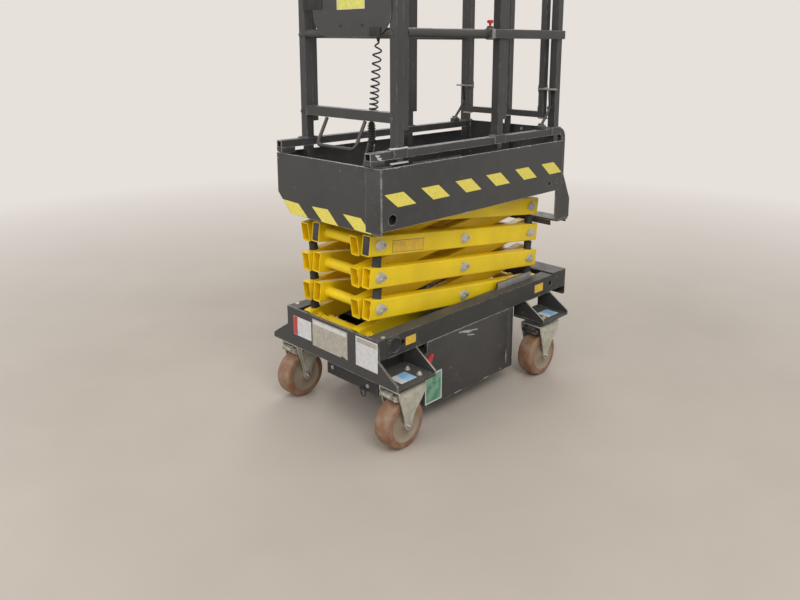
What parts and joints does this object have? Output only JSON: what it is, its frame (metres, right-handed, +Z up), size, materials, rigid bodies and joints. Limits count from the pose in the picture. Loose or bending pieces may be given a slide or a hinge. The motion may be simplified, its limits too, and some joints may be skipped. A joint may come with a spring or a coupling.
{
  "type": "scissor lift",
  "caption": "Compact push-around scissor lift: castored chassis with battery box, crossed yellow arms and a guarded black platform with rear gates.",
  "frame": {"origin": "on the ground under the centre of the bounding box", "axes": "+X to the end with the control plate, +Y to the long side with the isolator, +Z up"},
  "size_m": [1.286, 0.76, 2.0558],
  "materials": {
    "black_paint": "worn black paint",
    "yellow_paint": "yellow paint",
    "steel": "bare and zinc-plated steel",
    "zinc": "zinc-plated pressed steel",
    "tyre": "brown polyurethane on a grey centre",
    "deck": "chequered deck",
    "plastic": "black plastic",
    "cord": "black cord"
  },
  "bodies": {
    "chassis": {"chassis_rails": "black_paint", "front_plate": "black_paint", "rear_wall": "black_paint", "castor_brackets": "black_paint", "castor_gussets": "black_paint", "castor_tops": "zinc", "battery_box": "black_paint", "box_hangers": "black_paint", "pump_box": "black_paint", "cylinder_mount": "black_paint"},
    "castor_front_near": {"fork_front_near": "zinc"},
    "roller_front_near": {"wheel_front_near": "tyre"},
    "castor_front_far": {"fork_front_far": "zinc"},
    "roller_front_far": {"wheel_front_far": "tyre"},
    "castor_rear_near": {"fork_rear_near": "zinc"},
    "roller_rear_near": {"wheel_rear_near": "tyre"},
    "castor_rear_far": {"fork_rear_far": "zinc"},
    "roller_rear_far": {"wheel_rear_far": "tyre"},
    "falling_1": {"falling_arms_1": "yellow_paint", "falling_pins_1": "steel"},
    "rising_1": {"rising_arms_1": "yellow_paint", "rising_pins_1": "steel"},
    "falling_2": {"falling_arms_2": "yellow_paint", "falling_pins_2": "steel"},
    "rising_2": {"rising_arms_2": "yellow_paint", "rising_pins_2": "steel"},
    "falling_3": {"falling_arms_3": "yellow_paint", "falling_pins_3": "steel"},
    "rising_3": {"rising_arms_3": "yellow_paint", "rising_pins_3": "steel"},
    "falling_4": {"falling_arms_4": "yellow_paint", "falling_pins_4": "steel"},
    "rising_4": {"rising_arms_4": "yellow_paint", "rising_pins_4": "steel"},
    "platform": {"deck": "deck", "platform_channels": "black_paint", "side_skirts": "black_paint", "front_skirt": "black_paint", "step_sides": "black_paint", "step_tread": "black_paint", "rear_edge": "black_paint", "base_rails": "black_paint", "rail_legs": "black_paint", "post_feet": "black_paint", "guard_posts": "black_paint", "top_rail": "black_paint", "front_rails": "black_paint", "side_rails": "black_paint", "gate_hinges": "black_paint", "control_plate": "black_paint", "control_box": "plastic", "cord_socket": "plastic", "cord_conduit": "plastic", "curly_cord": "cord", "front_hoop": "black_paint"},
    "gate_near": {"gate_near": "black_paint"},
    "gate_far": {"gate_far": "black_paint"},
    "barrel": {"cylinder_barrel": "black_paint"},
    "rod": {"cylinder_rod": "steel"}
  },
  "joints": [
    {"name": "swivel_front_near", "type": "hinge", "parent": "chassis", "child": "castor_front_near", "pos_m": [0.497, 0.308, 0.251], "axis": [0, 0, 1], "continuous": true},
    {"name": "roll_front_near", "type": "hinge", "parent": "castor_front_near", "child": "roller_front_near", "pos_m": [0.537, 0.308, 0.1], "axis": [0, 1, 0], "continuous": true},
    {"name": "swivel_front_far", "type": "hinge", "parent": "chassis", "child": "castor_front_far", "pos_m": [0.497, -0.308, 0.251], "axis": [0, 0, 1], "continuous": true},
    {"name": "roll_front_far", "type": "hinge", "parent": "castor_front_far", "child": "roller_front_far", "pos_m": [0.537, -0.308, 0.1], "axis": [0, 1, 0], "continuous": true},
    {"name": "swivel_rear_near", "type": "hinge", "parent": "chassis", "child": "castor_rear_near", "pos_m": [-0.41402, 0.308, 0.251], "axis": [0, 0, 1], "continuous": true},
    {"name": "roll_rear_near", "type": "hinge", "parent": "castor_rear_near", "child": "roller_rear_near", "pos_m": [-0.37402, 0.308, 0.1], "axis": [0, 1, 0], "continuous": true},
    {"name": "swivel_rear_far", "type": "hinge", "parent": "chassis", "child": "castor_rear_far", "pos_m": [-0.41402, -0.308, 0.251], "axis": [0, 0, 1], "continuous": true},
    {"name": "roll_rear_far", "type": "hinge", "parent": "castor_rear_far", "child": "roller_rear_far", "pos_m": [-0.37402, -0.308, 0.1], "axis": [0, 1, 0], "continuous": true},
    {"name": "lift", "type": "hinge", "parent": "chassis", "child": "falling_1", "pos_m": [0.537, 0, 0.397], "axis": [0, 1, 0], "range_deg": [0, 32]},
    {"name": "middle_pivot_1", "type": "hinge", "parent": "falling_1", "child": "rising_1", "pos_m": [0.04599, 0, 0.45973], "axis": [0, 1, 0], "range_deg": [-64, 0]},
    {"name": "front_pivot_1", "type": "hinge", "parent": "rising_1", "child": "falling_2", "pos_m": [0.537, 0, 0.52245], "axis": [0, 1, 0], "range_deg": [0, 64]},
    {"name": "middle_pivot_2", "type": "hinge", "parent": "falling_2", "child": "rising_2", "pos_m": [0.04599, 0, 0.58518], "axis": [0, 1, 0], "range_deg": [-64, 0]},
    {"name": "front_pivot_2", "type": "hinge", "parent": "rising_2", "child": "falling_3", "pos_m": [0.537, 0, 0.6479], "axis": [0, 1, 0], "range_deg": [0, 64]},
    {"name": "middle_pivot_3", "type": "hinge", "parent": "falling_3", "child": "rising_3", "pos_m": [0.04599, 0, 0.71063], "axis": [0, 1, 0], "range_deg": [-64, 0]},
    {"name": "front_pivot_3", "type": "hinge", "parent": "rising_3", "child": "falling_4", "pos_m": [0.537, 0, 0.77335], "axis": [0, 1, 0], "range_deg": [0, 64]},
    {"name": "middle_pivot_4", "type": "hinge", "parent": "falling_4", "child": "rising_4", "pos_m": [0.04599, 0, 0.83608], "axis": [0, 1, 0], "range_deg": [-64, 0]},
    {"name": "platform_pivot", "type": "hinge", "parent": "rising_4", "child": "platform", "pos_m": [0.537, 0, 0.8988], "axis": [0, 1, 0], "range_deg": [0, 32]},
    {"name": "gate_near_hinge", "type": "hinge", "parent": "platform", "child": "gate_near", "pos_m": [-0.48102, 0.216, 1.592], "axis": [0, 0, 1], "range_deg": [0, 85], "stiffness_Nm_per_rad": 3, "springref_deg": -8.59},
    {"name": "gate_far_hinge", "type": "hinge", "parent": "platform", "child": "gate_far", "pos_m": [-0.48102, -0.216, 1.592], "axis": [0, 0, 1], "range_deg": [-85, 0], "stiffness_Nm_per_rad": 3, "springref_deg": 8.59},
    {"name": "cylinder_swing", "type": "hinge", "parent": "chassis", "child": "barrel", "pos_m": [0.243, 0, 0.338], "axis": [0, 1, 0], "range_deg": [0, 41.1]},
    {"name": "cylinder_stroke", "type": "slide", "parent": "barrel", "child": "rod", "axis": [-0.9659, 0, 0.2589], "range_m": [0, 0.114]}
  ],
  "couplings": [
    {"joint": "middle_pivot_1", "follows": "lift", "ratio": -2},
    {"joint": "front_pivot_1", "follows": "lift", "ratio": 2},
    {"joint": "middle_pivot_2", "follows": "lift", "ratio": -2},
    {"joint": "front_pivot_2", "follows": "lift", "ratio": 2},
    {"joint": "middle_pivot_3", "follows": "lift", "ratio": -2},
    {"joint": "front_pivot_3", "follows": "lift", "ratio": 2},
    {"joint": "middle_pivot_4", "follows": "lift", "ratio": -2},
    {"joint": "platform_pivot", "follows": "lift", "ratio": 1},
    {"joint": "cylinder_swing", "follows": "lift", "ratio": 1.2826},
    {"joint": "cylinder_stroke", "follows": "lift", "m_per_rad": 0.204}
  ]
}
